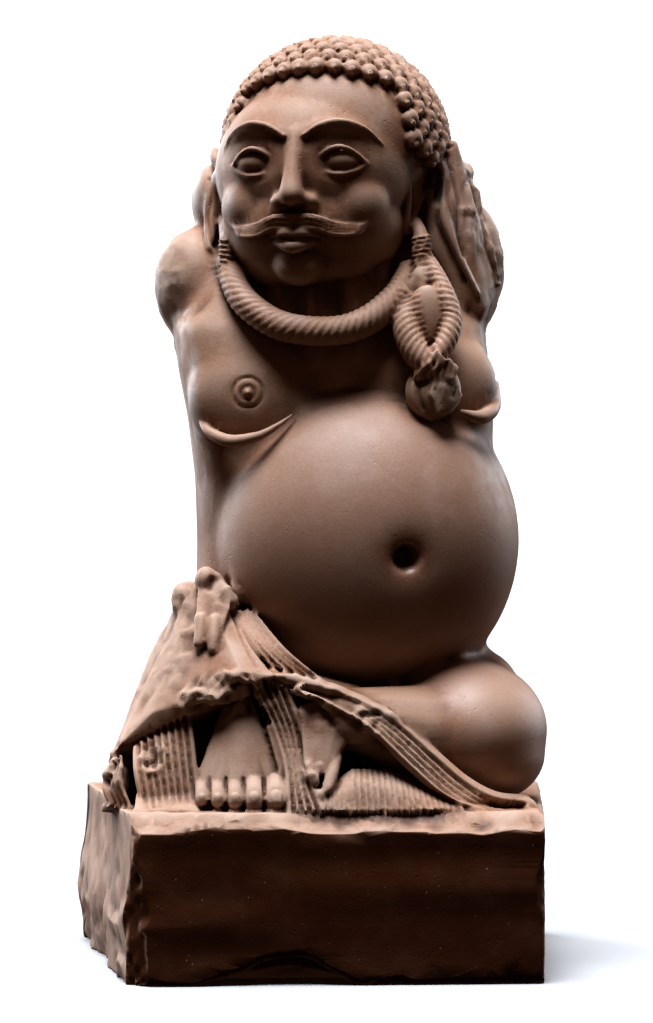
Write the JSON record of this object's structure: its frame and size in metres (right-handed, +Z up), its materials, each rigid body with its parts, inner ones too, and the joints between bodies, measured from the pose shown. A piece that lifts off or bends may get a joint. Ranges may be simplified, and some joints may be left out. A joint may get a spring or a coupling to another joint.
{
  "type": "seated stone statue",
  "caption": "Carved sandstone statue of a seated, pot-bellied guardian of wealth with tight curls, a rope necklace and broken arms, on its own square block.",
  "frame": {"origin": "middle of the block's underside", "axes": "+Z up, -Y towards the viewer the figure faces, +X towards the figure's left side"},
  "size_m": [0.478, 0.37, 0.9235],
  "materials": {
    "red_sandstone": "worn mottled red sandstone, polished smooth on the belly and rough on the breaks"
  },
  "bodies": {
    "root": {"kubera_statue": "red_sandstone"}
  },
  "joints": []
}
